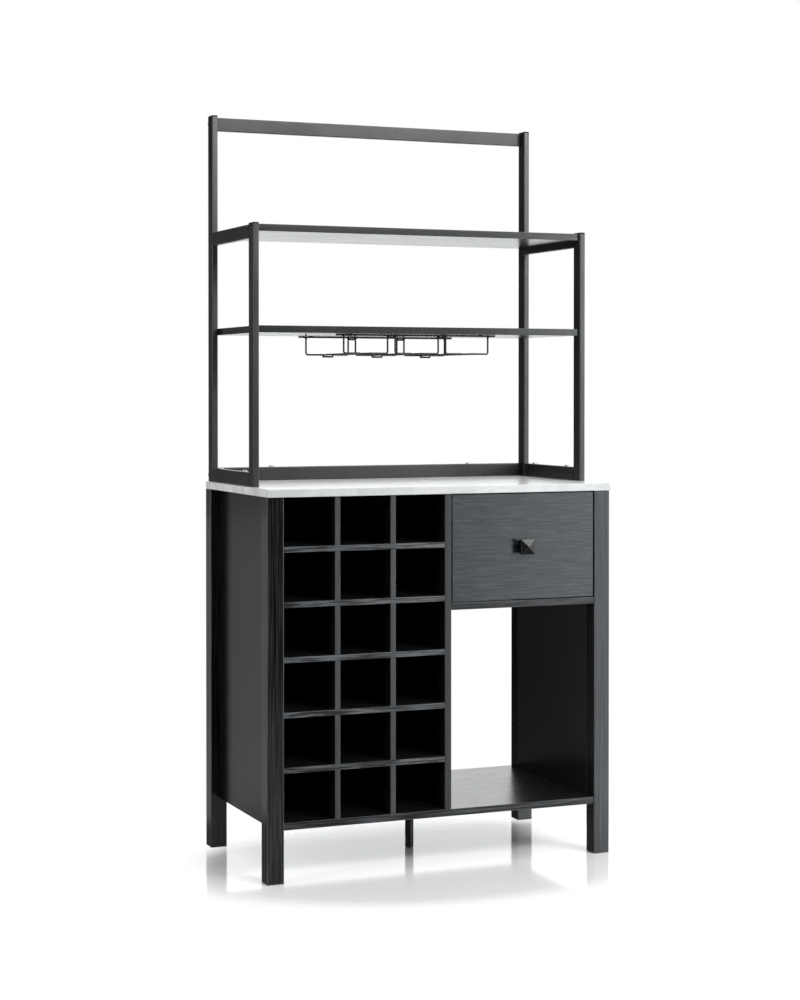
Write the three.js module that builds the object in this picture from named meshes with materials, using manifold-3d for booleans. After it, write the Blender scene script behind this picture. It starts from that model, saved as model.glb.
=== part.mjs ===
// A bakers rack: a cupboard base with a wine grid and a drawer, and a tube hutch with two shelves on top.
// Millimetres, X to the right, Y to the back, Z up. The floor is at zero and the base is centred on X.
import * as THREE from 'three';
import { mergeVertices } from 'three/addons/utils/BufferGeometryUtils.js';
import Module from 'manifold-3d';

const wasm = await Module();
wasm.setup();

// Fits shared by every piece
const fitGap = 0.3;
const cutOverrun = 2;

// Base, outside
const baseWidth = 800;
const baseDepth = 420;
const counterHeight = 820;
const counterThick = 17;
const counterNose = 4;
const legSize = 37;
const panelThick = 15;
const panelGroundClear = 109;
const bottomGroundClear = 111;
const boardRecess = 2;
const backThick = 5;

// Wine grid
const wineColumns = 3;
const wineRows = 6;
const wineCellWidth = 114;
const gridThick = 12;

// Middle foot, a turned pin with a stud in the bottom board
const footRadius = 9.5;
const footRound = 3;
const footStudRadius = 4;
const footStudLength = 10;
const footAside = 2;
const footBehind = 10;

// Drawer
const drawerBayHeight = 234.5;
const drawerFrontGap = 2.5;
const drawerFrontLift = 2;
const drawerFrontThick = 15;
const drawerSideThick = 12;
const drawerBoxHeight = 150;
const drawerBoxLift = 16;
const drawerBottomThick = 4;
const drawerBottomLift = 12;
const drawerGroove = 5;
const drawerTravel = 250;

// Runners, one folded strip inside another with a ball cage between them
const runnerLength = 350;
const runnerWide = 12.7;
const runnerSheet = 1.2;
const runnerHeightInBox = 62;
const runnerSetback = 4;
const outerHalf = 17.5;
const outerReach = 10.8;
const outerLip = 3.1;
const innerHalf = 11;
const innerStart = 2.9;
const innerLip = 1.6;
const innerLipThick = 0.8;
const cageStart = 1.5;
const cageEnd = 8.9;
const cageSheet = 0.8;
const cageEndRoom = 4;
const ballClear = 0.25;
const ballCount = 6;
const ballEndRoom = 8;

// Knob, a square block that widens to a faceted face
const knobWide = 33;
const knobFootWide = 26;
const knobFlare = 18;
const knobEdge = 4;
const knobFace = 5;
const knobScrewRadius = 2;
const knobScrewDepth = 12;
const knobScrewHead = 4.2;
const knobScrewHeadThick = 2.4;

// Hutch of rectangular tube
const tubeThick = 13;
const tubeWide = 32;
const railTall = 30;
const tubeWall = 1.2;
const tubeCorner = 2;
const hutchSideInset = 6;
const hutchFrontInset = 104;
const hutchRearInset = 0;
const frontPostTop = 1380;
const rearPostTop = 1639;
const capHead = 3;
const capPlug = 12;
const middleShelfTop = 1162.5;
const shelfThick = 15;
const shelfInset = 7;
const railBoltRadius = 3;
const railBoltHead = 6;
const railBoltHeadThick = 3;
const railBoltBite = 12;
const railBoltHole = 3.4;
const rearBoltFromPost = 135;
const sideBoltFromPost = 44;

// Stemware rack of bent wire under the middle shelf
const wireThick = 4;
const wireBend = 6;
const stemSlots = 3;
const stemSlotWide = 103;
const stemPairSpacing = 18;
const stemFlange = 39.5;
const stemDrop = 40;
const stemDepth = 237;
const stemRackBehind = 5;
const stemBarOverhang = 18;
const stemBeadRadius = 1.5;

// Facets
const cornerSteps = 2;
const wireSides = 8;
const bendSteps = 4;
const ballSides = 8;
const ballRings = 6;
const turnedSides = 24;
const roundSteps = 4;

// Levels and faces that several pieces share
const left = -baseWidth / 2;
const right = baseWidth / 2;
const front = -baseDepth / 2;
const back = baseDepth / 2;
const insideLeft = left + legSize;
const insideRight = right - legSize;
const boardFront = front + boardRecess;
const boardBack = back - boardRecess;
const boardDepth = [boardFront, boardBack];
const counterUnderside = counterHeight - counterThick;
const floorBoardTop = bottomGroundClear + panelThick;
const gridWidth = wineColumns * wineCellWidth + (wineColumns - 1) * gridThick;
const partitionLeft = insideLeft + gridWidth;
const partitionRight = partitionLeft + panelThick;
const gridBack = boardBack - backThick;
const wineCellHeight = (counterUnderside - floorBoardTop - (wineRows - 1) * gridThick) / wineRows;
const drawerShelfTop = counterUnderside - drawerBayHeight;
const hutchOuter = right - hutchSideInset;
const hutchInner = hutchOuter - tubeThick;
const postX = hutchOuter - tubeThick / 2;
const frontPostFace = front + hutchFrontInset;
const rearPostFace = back - hutchRearInset - tubeWide;
const rearRailY = back - hutchRearInset - tubeThick / 2;
const shelfDepth = [frontPostFace + shelfInset, rearPostFace + tubeWide - shelfInset];

// Materials
function finish(color, roughness, metalness) {
  return new THREE.MeshStandardMaterial({ color, roughness, metalness });
}

const blackBoard = finish(0x2b2d30, 0.55, 0);
const marbleBoard = finish(0xe8e9e8, 0.35, 0);
const darkPanel = finish(0x1d1e20, 0.8, 0);
const drawerBoard = finish(0x303234, 0.7, 0);
const blackTube = finish(0x34363a, 0.45, 0.3);
const blackWire = finish(0x18191b, 0.4, 0.4);
const blackPlastic = finish(0x17181a, 0.6, 0);
const zincSteel = finish(0xb9bcc0, 0.35, 0.9);
const knobMetal = finish(0x1c1d20, 0.4, 0.5);

// Solid tools
function toSolid(geometry) {
  const bare = geometry.clone();
  bare.deleteAttribute('normal');
  bare.deleteAttribute('uv');
  const merged = mergeVertices(bare);
  return new wasm.Manifold(new wasm.Mesh({
    numProp: 3,
    vertProperties: new Float32Array(merged.attributes.position.array),
    triVerts: new Uint32Array(merged.index.array),
  }));
}

function toGeometry(solid) {
  const mesh = solid.getMesh();
  const shared = new THREE.BufferGeometry();
  shared.setAttribute('position', new THREE.BufferAttribute(mesh.vertProperties, 3));
  shared.setIndex(new THREE.BufferAttribute(mesh.triVerts, 1));
  const faceted = shared.toNonIndexed();
  faceted.computeVertexNormals();
  return faceted;
}

function cut(geometry, tools) {
  const rest = tools.reduce((solid, tool) => solid.subtract(toSolid(tool)), toSolid(geometry));
  return toGeometry(rest);
}

function join(geometries) {
  const [first, ...others] = geometries.map(toSolid);
  return toGeometry(others.reduce((solid, other) => solid.add(other), first));
}

function middle([low, high]) {
  return (low + high) / 2;
}

// A box between spans, each [low, high], drawn about the point that is given
function boxAbout(centre, spans) {
  const box = new THREE.BoxGeometry(...spans.map(([low, high]) => high - low));
  const offset = spans.map((span, axis) => middle(span) - centre[axis]);
  return box.translate(...offset);
}

// An upright cylinder from one level to another
function upright(radius, low, high, sides) {
  const rod = new THREE.CylinderGeometry(radius, radius, high - low, sides);
  return rod.rotateX(Math.PI / 2).translate(0, 0, (low + high) / 2);
}

function piece(parent, name, geometry, material, [x, y, z]) {
  const mesh = new THREE.Mesh(geometry, material);
  mesh.name = name;
  mesh.position.set(x, y, z);
  parent.add(mesh);
  return mesh;
}

// A board between spans, less the cuts, which are spans in the same frame
function board(parent, name, material, spans, cuts = []) {
  const centre = spans.map(middle);
  const blank = boxAbout(centre, spans);
  const tools = cuts.map((span) => boxAbout(centre, span));
  const geometry = tools.length ? cut(blank, tools) : blank;
  return piece(parent, name, geometry, material, centre);
}

function loose([low, high]) {
  return [low + fitGap, high - fitGap];
}

function through([low, high]) {
  return [low - cutOverrun, high + cutOverrun];
}

// Base: four legs, two side panels and the boards between them
function buildLegs(base) {
  for (const [side, x] of [['left', left], ['right', insideRight]]) {
    for (const [end, y] of [['front', front], ['rear', back - legSize]]) {
      const spans = [[x, x + legSize], [y, y + legSize], [0, counterUnderside - fitGap]];
      board(base, `${side}_${end}_leg`, blackBoard, spans);
    }
  }
}

function buildSidePanels(base) {
  const between = loose([front + legSize, back - legSize]);
  for (const [side, x] of [['left', insideLeft - panelThick], ['right', insideRight]]) {
    const spans = [[x, x + panelThick], between, [panelGroundClear, counterUnderside - fitGap]];
    board(base, `${side}_side_panel`, blackBoard, spans);
  }
}

function buildBottomBoard(base) {
  const wide = loose([insideLeft, insideRight]);
  const spans = [wide, boardDepth, [bottomGroundClear, floorBoardTop]];
  const centre = spans.map(middle);
  const holeLow = bottomGroundClear - cutOverrun - centre[2];
  const holeTop = bottomGroundClear + footStudLength + fitGap - centre[2];
  const hole = upright(footStudRadius + fitGap, holeLow, holeTop, turnedSides);
  hole.translate(footX() - centre[0], footBehind - centre[1], 0);
  piece(base, 'bottom_board', cut(boxAbout(centre, spans), [hole]), blackBoard, centre);
}

function footX() {
  return (partitionLeft + partitionRight) / 2 + footAside;
}

// The middle foot is turned: a rounded lower end, a flat shoulder and a stud
function buildMiddleFoot(base) {
  const shoulder = bottomGroundClear - fitGap;
  const outline = [new THREE.Vector2(0, 0)];
  for (let step = 0; step <= roundSteps; step += 1) {
    const angle = (step / roundSteps) * (Math.PI / 2);
    const radius = footRadius - footRound + footRound * Math.sin(angle);
    outline.push(new THREE.Vector2(radius, footRound * (1 - Math.cos(angle))));
  }
  outline.push(new THREE.Vector2(footRadius, shoulder));
  outline.push(new THREE.Vector2(footStudRadius, shoulder));
  outline.push(new THREE.Vector2(footStudRadius, bottomGroundClear + footStudLength));
  outline.push(new THREE.Vector2(0, bottomGroundClear + footStudLength));
  const turned = new THREE.LatheGeometry(outline, turnedSides).rotateX(Math.PI / 2);
  piece(base, 'middle_foot', turned, blackTube, [footX(), footBehind, 0]);
}

function buildPartition(base) {
  const upperPart = loose([floorBoardTop, counterUnderside]);
  const spans = [[partitionLeft, partitionRight], boardDepth, upperPart];
  board(base, 'centre_partition', blackBoard, spans);
}

function buildDrawerShelf(base) {
  const wide = loose([partitionRight, insideRight]);
  const spans = [wide, boardDepth, [drawerShelfTop - panelThick, drawerShelfTop]];
  board(base, 'drawer_shelf', blackBoard, spans);
}

function buildWineBack(base) {
  const spans = [
    loose([insideLeft, partitionLeft]),
    [gridBack + fitGap, boardBack],
    loose([floorBoardTop, counterUnderside]),
  ];
  board(base, 'wine_back_panel', darkPanel, spans);
}

// Wine grid: uprights and shelves notched to half their depth, so that they slide into each other
function dividerSpan(column) {
  const start = insideLeft + column * wineCellWidth + (column - 1) * gridThick;
  return [start, start + gridThick];
}

function gridShelfSpan(row) {
  const start = floorBoardTop + row * wineCellHeight + (row - 1) * gridThick;
  return [start, start + gridThick];
}

function wider([low, high]) {
  return [low - fitGap, high + fitGap];
}

function buildWineGrid(base) {
  const depth = [boardFront, gridBack];
  const half = middle(depth);
  const columns = Array.from({ length: wineColumns - 1 }, (_, k) => k + 1);
  const rows = Array.from({ length: wineRows - 1 }, (_, k) => k + 1);
  for (const column of columns) {
    const spans = [dividerSpan(column), depth, loose([floorBoardTop, counterUnderside])];
    const notchDepth = [boardFront - cutOverrun, half];
    const notches = rows.map((row) => [through(spans[0]), notchDepth, wider(gridShelfSpan(row))]);
    board(base, `wine_divider_${column}`, blackBoard, spans, notches);
  }
  for (const row of rows) {
    const spans = [loose([insideLeft, partitionLeft]), depth, gridShelfSpan(row)];
    const notches = columns.map((column) => [
      wider(dividerSpan(column)), [half - fitGap, gridBack + cutOverrun], through(spans[2]),
    ]);
    board(base, `wine_shelf_${row}`, blackBoard, spans, notches);
  }
}

// Every bolt that ties the hutch to the counter, as [name, x, y]
function railBolts() {
  const forward = frontPostFace + tubeWide + sideBoltFromPost;
  const rearward = rearPostFace - sideBoltFromPost;
  const aside = hutchInner - rearBoltFromPost;
  return [
    ['left_rail_bolt_front', -postX, forward],
    ['left_rail_bolt_rear', -postX, rearward],
    ['right_rail_bolt_front', postX, forward],
    ['right_rail_bolt_rear', postX, rearward],
    ['rear_rail_bolt_left', -aside, rearRailY],
    ['rear_rail_bolt_right', aside, rearRailY],
  ];
}

function buildCountertop(base) {
  const spans = [[left, right], [front - counterNose, back], [counterUnderside, counterHeight]];
  const centre = spans.map(middle);
  const holeLow = counterHeight - railBoltBite - fitGap - centre[2];
  const holeHigh = counterHeight + cutOverrun - centre[2];
  const holes = railBolts().map(([, x, y]) => (
    upright(railBoltHole, holeLow, holeHigh, turnedSides).translate(x - centre[0], y - centre[1], 0)
  ));
  piece(base, 'countertop', cut(boxAbout(centre, spans), holes), marbleBoard, centre);
}

// Drawer: a board box behind an inset front, carried by the inner runner strips
const drawerOpening = [partitionRight, insideRight];
const drawerOuter = [
  partitionRight + runnerWide + 2 * fitGap,
  insideRight - runnerWide - 2 * fitGap,
];
const drawerFrontBottom = drawerShelfTop + drawerFrontLift;
const drawerFrontTop = counterUnderside - drawerFrontGap;
const drawerBoxBottom = drawerShelfTop + drawerBoxLift;
const drawerBoxTop = drawerBoxBottom + drawerBoxHeight;
const drawerBoxFront = boardFront + drawerFrontThick + fitGap;
const drawerBoxBack = drawerBoxFront + runnerSetback + runnerLength;
const drawerBottomUnderside = drawerBoxBottom + drawerBottomLift;
const drawerBottomSpan = [drawerBottomUnderside, drawerBottomUnderside + drawerBottomThick];
const knobX = middle(drawerOpening);
const knobZ = (drawerFrontBottom + drawerFrontTop) / 2;

function buildDrawerFront(drawer) {
  const spans = [
    [partitionRight + drawerFrontGap, insideRight - drawerFrontGap],
    [boardFront, boardFront + drawerFrontThick],
    [drawerFrontBottom, drawerFrontTop],
  ];
  const centre = spans.map(middle);
  const reach = drawerFrontThick / 2 + cutOverrun;
  const hole = upright(knobScrewRadius + fitGap, -reach, reach, turnedSides).rotateX(Math.PI / 2);
  hole.translate(knobX - centre[0], 0, knobZ - centre[2]);
  piece(drawer, 'drawer_front', cut(boxAbout(centre, spans), [hole]), blackBoard, centre);
}

function buildDrawerBox(drawer) {
  const [outerLeft, outerRight] = drawerOuter;
  const inside = [outerLeft + drawerSideThick, outerRight - drawerSideThick];
  const height = [drawerBoxBottom, drawerBoxTop];
  const grooveHeight = wider(drawerBottomSpan);
  const depth = [drawerBoxFront, drawerBoxBack];
  const bottomX = [inside[0] - drawerGroove, inside[1] + drawerGroove];
  const backFace = drawerBoxBack - drawerSideThick;
  const grooveBack = backFace + drawerGroove;
  const grooveDepth = [drawerBoxFront - cutOverrun, grooveBack];
  const bottomDepth = [drawerBoxFront, grooveBack - fitGap];
  board(drawer, 'drawer_left_side', drawerBoard, [[outerLeft, inside[0]], depth, height],
    [[[bottomX[0] - fitGap, inside[0] + cutOverrun], grooveDepth, grooveHeight]]);
  board(drawer, 'drawer_right_side', drawerBoard, [[inside[1], outerRight], depth, height],
    [[[inside[1] - cutOverrun, bottomX[1] + fitGap], grooveDepth, grooveHeight]]);
  board(drawer, 'drawer_back', drawerBoard, [loose(inside), [backFace, drawerBoxBack], height],
    [[through(inside), [backFace - cutOverrun, grooveBack], grooveHeight]]);
  board(drawer, 'drawer_bottom', darkPanel, [bottomX, bottomDepth, drawerBottomSpan]);
}

// The knob is a four-sided turning: a flare, a straight edge and a pyramid face
function buildKnob(drawer) {
  const square = Math.SQRT2 / 2;
  const outline = [
    [0, 0],
    [knobFootWide * square, 0],
    [knobWide * square, knobFlare],
    [knobWide * square, knobFlare + knobEdge],
    [0, knobFlare + knobEdge + knobFace],
  ].map(([radius, reach]) => new THREE.Vector2(radius, reach));
  const block = new THREE.LatheGeometry(outline, 4).rotateY(Math.PI / 4);
  const boreRadius = knobScrewRadius + fitGap;
  const boreLength = knobScrewDepth + fitGap + cutOverrun;
  const bore = new THREE.CylinderGeometry(boreRadius, boreRadius, boreLength, turnedSides);
  bore.translate(0, boreLength / 2 - cutOverrun, 0);
  const place = [knobX, boardFront - fitGap, knobZ];
  const mesh = piece(drawer, 'drawer_knob', cut(block, [bore]), knobMetal, place);
  mesh.rotation.x = Math.PI;
}

function buildKnobScrew(drawer) {
  const seat = drawerFrontThick + fitGap;
  const outline = [
    [0, -knobScrewDepth],
    [knobScrewRadius, -knobScrewDepth],
    [knobScrewRadius, seat],
    [knobScrewHead, seat],
    [knobScrewHead, seat + knobScrewHeadThick / 2],
    [knobScrewHead / 2, seat + knobScrewHeadThick],
    [0, seat + knobScrewHeadThick],
  ].map(([radius, reach]) => new THREE.Vector2(radius, reach));
  const screw = new THREE.LatheGeometry(outline, turnedSides);
  piece(drawer, 'knob_screw', screw, zincSteel, [knobX, boardFront, knobZ]);
}

// Runner sections are drawn across the strip: how far from the wall, and how far above mid height
function runnerStrip(upperHalf, length) {
  const upper = upperHalf.map(([across, up]) => new THREE.Vector2(across, up));
  const lower = upperHalf.map(([across, up]) => new THREE.Vector2(across, -up)).reverse();
  const outline = new THREE.Shape([...upper, ...lower]);
  const strip = new THREE.ExtrudeGeometry(outline, { depth: length, bevelEnabled: false });
  return strip.rotateX(Math.PI / 2).translate(0, length / 2, 0);
}

function outerStrip() {
  const lipFrom = outerReach - runnerSheet;
  const ceiling = outerHalf - runnerSheet;
  return runnerStrip([
    [runnerSheet, ceiling],
    [lipFrom, ceiling],
    [lipFrom, ceiling - outerLip],
    [outerReach, ceiling - outerLip],
    [outerReach, outerHalf],
    [0, outerHalf],
  ], runnerLength);
}

function innerStrip() {
  return runnerStrip([
    [runnerWide - runnerSheet, innerHalf - runnerSheet],
    [innerStart, innerHalf - runnerSheet],
    [innerStart, innerHalf + innerLip],
    [innerStart + innerLipThick, innerHalf + innerLip],
    [innerStart + innerLipThick, innerHalf],
    [runnerWide, innerHalf],
  ], runnerLength);
}

// The cage is a thin folded strip with its balls held halfway through both flanges
function ballCage() {
  const length = runnerLength - drawerTravel - 2 * cageEndRoom;
  const trackGap = outerHalf - runnerSheet - innerHalf;
  const ballLevel = innerHalf + trackGap / 2;
  const ballRadius = trackGap / 2 - ballClear;
  const ballAcross = (innerStart + innerLipThick + outerReach - runnerSheet) / 2;
  const strip = runnerStrip([
    [cageStart + cageSheet, ballLevel - cageSheet / 2],
    [cageEnd, ballLevel - cageSheet / 2],
    [cageEnd, ballLevel + cageSheet / 2],
    [cageStart, ballLevel + cageSheet / 2],
  ], length);
  const balls = [];
  const spacing = (length - 2 * ballEndRoom) / (ballCount - 1);
  for (let k = 0; k < ballCount; k += 1) {
    const along = -length / 2 + ballEndRoom + k * spacing;
    for (const level of [-ballLevel, ballLevel]) {
      const ball = new THREE.SphereGeometry(ballRadius, ballSides, ballRings);
      balls.push(ball.translate(ballAcross, along, level));
    }
  }
  return join([strip, ...balls]);
}

// The right-hand runner is the left-hand one turned half round
function buildRunners(base, drawer) {
  const along = drawerBoxFront + runnerSetback + runnerLength / 2;
  const level = drawerBoxBottom + runnerHeightInBox;
  const sides = [
    ['left', partitionRight + fitGap, 0],
    ['right', insideRight - fitGap, Math.PI],
  ];
  for (const [side, wall, turn] of sides) {
    const place = [wall, along, level];
    piece(base, `${side}_runner_outer`, outerStrip(), zincSteel, place).rotation.z = turn;
    piece(drawer, `${side}_runner_inner`, innerStrip(), zincSteel, place).rotation.z = turn;
    piece(drawer, `${side}_ball_cage`, ballCage(), zincSteel, place).rotation.z = turn;
  }
}

// Rectangular tube and its caps
function roundedRectangle(wide, tall, radius) {
  const x = wide / 2 - radius;
  const y = tall / 2 - radius;
  const outline = new THREE.Shape();
  outline.absarc(x, y, radius, 0, Math.PI / 2);
  outline.absarc(-x, y, radius, Math.PI / 2, Math.PI);
  outline.absarc(-x, -y, radius, Math.PI, Math.PI * 1.5);
  outline.absarc(x, -y, radius, Math.PI * 1.5, Math.PI * 2);
  return outline;
}

function drawUp(outline, length) {
  return new THREE.ExtrudeGeometry(outline, {
    depth: length,
    bevelEnabled: false,
    curveSegments: cornerSteps,
  });
}

// A length of tube along Z about its middle, its thin side along X
function tube(wide, length) {
  const outline = roundedRectangle(tubeThick, wide, tubeCorner);
  const bore = roundedRectangle(tubeThick - 2 * tubeWall, wide - 2 * tubeWall, tubeCorner - tubeWall);
  outline.holes.push(bore);
  return drawUp(outline, length).translate(0, 0, -length / 2);
}

// Rails are tube laid along Y or along X, with the wide side upright
function railAlongY(length) {
  return tube(railTall, length).rotateX(-Math.PI / 2);
}

function railAlongX(length) {
  return railAlongY(length).rotateZ(-Math.PI / 2);
}

function postCap() {
  const plugWide = tubeThick - 2 * tubeWall - 2 * fitGap;
  const plugTall = tubeWide - 2 * tubeWall - 2 * fitGap;
  const head = drawUp(roundedRectangle(tubeThick, tubeWide, tubeCorner), capHead);
  const plug = drawUp(roundedRectangle(plugWide, plugTall, tubeCorner - tubeWall), capPlug + capHead / 2);
  return join([head, plug.translate(0, 0, -capPlug)]);
}

function buildPosts(hutch) {
  const start = counterHeight + fitGap;
  const ends = [['front', frontPostFace, frontPostTop], ['rear', rearPostFace, rearPostTop]];
  for (const [side, x] of [['left', -postX], ['right', postX]]) {
    for (const [end, face, top] of ends) {
      const y = face + tubeWide / 2;
      const tubeEnd = top - capHead - fitGap;
      const length = tubeEnd - start;
      piece(hutch, `${side}_${end}_post`, tube(tubeWide, length), blackTube, [x, y, start + length / 2]);
      piece(hutch, `${side}_${end}_cap`, postCap(), blackPlastic, [x, y, top - capHead]);
    }
  }
}

// A rail between two posts, drilled through where the bolts pass
function drilledRail(geometry, centre) {
  const reach = railTall / 2 + cutOverrun;
  const inside = railBolts().filter(([, x, y]) => isOver(geometry, x - centre[0], y - centre[1]));
  return cut(geometry, inside.map(([, x, y]) => (
    upright(railBoltHole, -reach, reach, turnedSides).translate(x - centre[0], y - centre[1], 0)
  )));
}

function isOver(geometry, x, y) {
  geometry.computeBoundingBox();
  const { min, max } = geometry.boundingBox;
  return x > min.x && x < max.x && y > min.y && y < max.y;
}

function buildRails(hutch) {
  const [railFront, railBack] = loose([frontPostFace + tubeWide, rearPostFace]);
  const sideLength = railBack - railFront;
  const rearLength = 2 * (hutchInner - fitGap);
  const sideY = (railFront + railBack) / 2;
  const baseZ = counterHeight + fitGap + railTall / 2;
  const topZ = frontPostTop - capHead - railTall / 2;
  const crownZ = rearPostTop - capHead - railTall / 2;
  for (const [side, x] of [['left', -postX], ['right', postX]]) {
    const place = [x, sideY, baseZ];
    piece(hutch, `${side}_base_rail`, drilledRail(railAlongY(sideLength), place), blackTube, place);
    piece(hutch, `${side}_top_rail`, railAlongY(sideLength), blackTube, [x, sideY, topZ]);
  }
  const place = [0, rearRailY, baseZ];
  piece(hutch, 'rear_base_rail', drilledRail(railAlongX(rearLength), place), blackTube, place);
  piece(hutch, 'crown_rail', railAlongX(rearLength), blackTube, [0, rearRailY, crownZ]);
}

function buildShelves(hutch) {
  const wide = loose([-hutchInner, hutchInner]);
  for (const [name, top] of [['top_shelf', frontPostTop - capHead], ['middle_shelf', middleShelfTop]]) {
    board(hutch, name, blackBoard, [wide, shelfDepth, [top - shelfThick, top]]);
  }
}

// A low round-headed bolt through a base rail into the counter
function buildRailBolts(hutch) {
  const tip = -(railTall + fitGap * 2 + railBoltBite);
  const outline = [[0, tip], [railBoltRadius, tip], [railBoltRadius, 0], [railBoltHead, 0]];
  for (let step = 1; step <= roundSteps; step += 1) {
    const angle = (step / roundSteps) * (Math.PI / 2);
    outline.push([railBoltHead * Math.cos(angle), railBoltHeadThick * Math.sin(angle)]);
  }
  outline[outline.length - 1][0] = 0;
  const points = outline.map(([radius, level]) => new THREE.Vector2(radius, level));
  const seat = counterHeight + railTall + 2 * fitGap;
  for (const [name, x, y] of railBolts()) {
    const bolt = new THREE.LatheGeometry(points, turnedSides).rotateX(Math.PI / 2);
    piece(hutch, name, bolt, zincSteel, [x, y, seat]);
  }
}

// Bent wire: the path keeps its stations where the straights end and along each bend
class BentWire extends THREE.Curve {
  constructor(corners, radius) {
    super();
    this.places = [];
    this.headings = [];
    corners.forEach((corner, k) => {
      if (k === 0) {
        this.station(corner, corners[1].clone().sub(corner).normalize());
      } else if (k === corners.length - 1) {
        this.station(corner, corner.clone().sub(corners[k - 1]).normalize());
      } else {
        this.bend(corners[k - 1], corner, corners[k + 1], radius);
      }
    });
  }

  station(place, heading) {
    this.places.push(place);
    this.headings.push(heading);
  }

  bend(before, corner, after, radius) {
    const incoming = corner.clone().sub(before).normalize();
    const outgoing = after.clone().sub(corner).normalize();
    const centre = corner.clone().addScaledVector(incoming, -radius).addScaledVector(outgoing, radius);
    for (let step = 0; step <= bendSteps; step += 1) {
      const angle = (step / bendSteps) * (Math.PI / 2);
      const [sine, cosine] = [Math.sin(angle), Math.cos(angle)];
      const arm = incoming.clone().multiplyScalar(sine).addScaledVector(outgoing, -cosine);
      const heading = incoming.clone().multiplyScalar(cosine).addScaledVector(outgoing, sine);
      this.station(centre.clone().addScaledVector(arm, radius), heading);
    }
  }

  get steps() {
    return this.places.length - 1;
  }

  getPointAt(share, target = new THREE.Vector3()) {
    return target.copy(this.places[Math.round(share * this.steps)]);
  }

  getTangentAt(share, target = new THREE.Vector3()) {
    return target.copy(this.headings[Math.round(share * this.steps)]);
  }
}

function wire(corners) {
  const path = new BentWire(corners.map((corner) => new THREE.Vector3(...corner)), wireBend);
  const section = new THREE.Shape();
  section.absarc(0, 0, wireThick / 2, 0, Math.PI * 2);
  return new THREE.ExtrudeGeometry(section, {
    extrudePath: path,
    steps: path.steps,
    curveSegments: wireSides / 2,
  });
}

// Stemware rack: two bars under the middle shelf, and rails of bent wire that hold glasses by the foot
function buildStemRack(hutch) {
  const stemRack = new THREE.Group();
  const level = middleShelfTop - shelfThick - fitGap - wireThick / 2;
  stemRack.position.set(0, middle(shelfDepth) + stemRackBehind, level);
  hutch.add(stemRack);
  const slotPitch = stemSlotWide + stemPairSpacing;
  const barHalf = (stemSlots * slotPitch - stemPairSpacing) / 2 + stemBarOverhang;
  for (const [end, y] of [['front', -stemDepth / 2], ['rear', stemDepth / 2]]) {
    const bar = upright(wireThick / 2, -barHalf, barHalf, wireSides).rotateY(Math.PI / 2);
    piece(stemRack, `stem_${end}_bar`, bar, blackWire, [0, y, 0]);
  }
  const names = ['stem_rail_left', 'stem_rail_mid_left', 'stem_rail_mid_right', 'stem_rail_right'];
  for (let rail = 0; rail <= stemSlots; rail += 1) {
    const x = (rail - stemSlots / 2) * slotPitch;
    const hanging = wire(stemRailCorners(rail));
    const parts = rail < stemSlots ? [hanging, ...stemStop()] : [hanging];
    piece(stemRack, names[rail], join(parts), blackWire, [x, 0, 0]);
  }
}

// One side of a slot: down at the rear, in under the glasses' feet, forward, out again and up
function slotSide(post, heading) {
  const low = -stemDrop;
  const inner = post + heading * stemFlange;
  return [
    [post, stemDepth / 2, low],
    [inner, stemDepth / 2, low],
    [inner, -stemDepth / 2, low],
    [post, -stemDepth / 2, low],
  ];
}

// Outer rails end under the bars. A rail between two slots is one wire, butted under the front bar.
function stemRailCorners(rail) {
  const half = stemPairSpacing / 2;
  const under = -wireThick / 2 - fitGap;
  const across = under - wireThick / 2;
  if (rail === 0 || rail === stemSlots) {
    const heading = rail === 0 ? 1 : -1;
    const post = half * heading;
    return [[post, stemDepth / 2, under], ...slotSide(post, heading), [post, -stemDepth / 2, under]];
  }
  return [
    [-fitGap / 2, -stemDepth / 2, across],
    [-half, -stemDepth / 2, across],
    ...slotSide(-half, -1).reverse(),
    [-half, stemDepth / 2, across],
    [half, stemDepth / 2, across],
    ...slotSide(half, 1),
    [half, -stemDepth / 2, across],
    [fitGap / 2, -stemDepth / 2, across],
  ];
}

// The stop behind a slot: a short wire under both inner wires, welded to the left one by a bead
function stemStop() {
  const start = stemPairSpacing / 2 + stemFlange;
  const end = stemPairSpacing / 2 + stemSlotWide - stemFlange;
  const level = -stemDrop - wireThick - fitGap;
  const y = stemDepth / 2 - wireBend;
  const rod = upright(wireThick / 2, start - wireThick / 2, end + wireThick / 2, wireSides);
  const stop = rod.rotateY(Math.PI / 2);
  const bead = upright(stemBeadRadius, level, -stemDrop, wireSides);
  return [stop.translate(0, y, level), bead.translate(start, y, 0)];
}

// Whole rack: its box is centred on the floor, between the knob's tip and the back edge
const rack = new THREE.Group();
const base = new THREE.Group();
const drawer = new THREE.Group();
const hutch = new THREE.Group();
buildLegs(base);
buildSidePanels(base);
buildBottomBoard(base);
buildMiddleFoot(base);
buildPartition(base);
buildDrawerShelf(base);
buildWineBack(base);
buildWineGrid(base);
buildCountertop(base);
buildDrawerFront(drawer);
buildDrawerBox(drawer);
buildKnob(drawer);
buildKnobScrew(drawer);
buildRunners(base, drawer);
buildPosts(hutch);
buildRails(hutch);
buildShelves(hutch);
buildRailBolts(hutch);
buildStemRack(hutch);
const knobTip = boardFront - fitGap - knobFlare - knobEdge - knobFace;
rack.position.y = -(knobTip + back) / 2;
rack.add(base, drawer, hutch);

export default rack;
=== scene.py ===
import math

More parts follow.
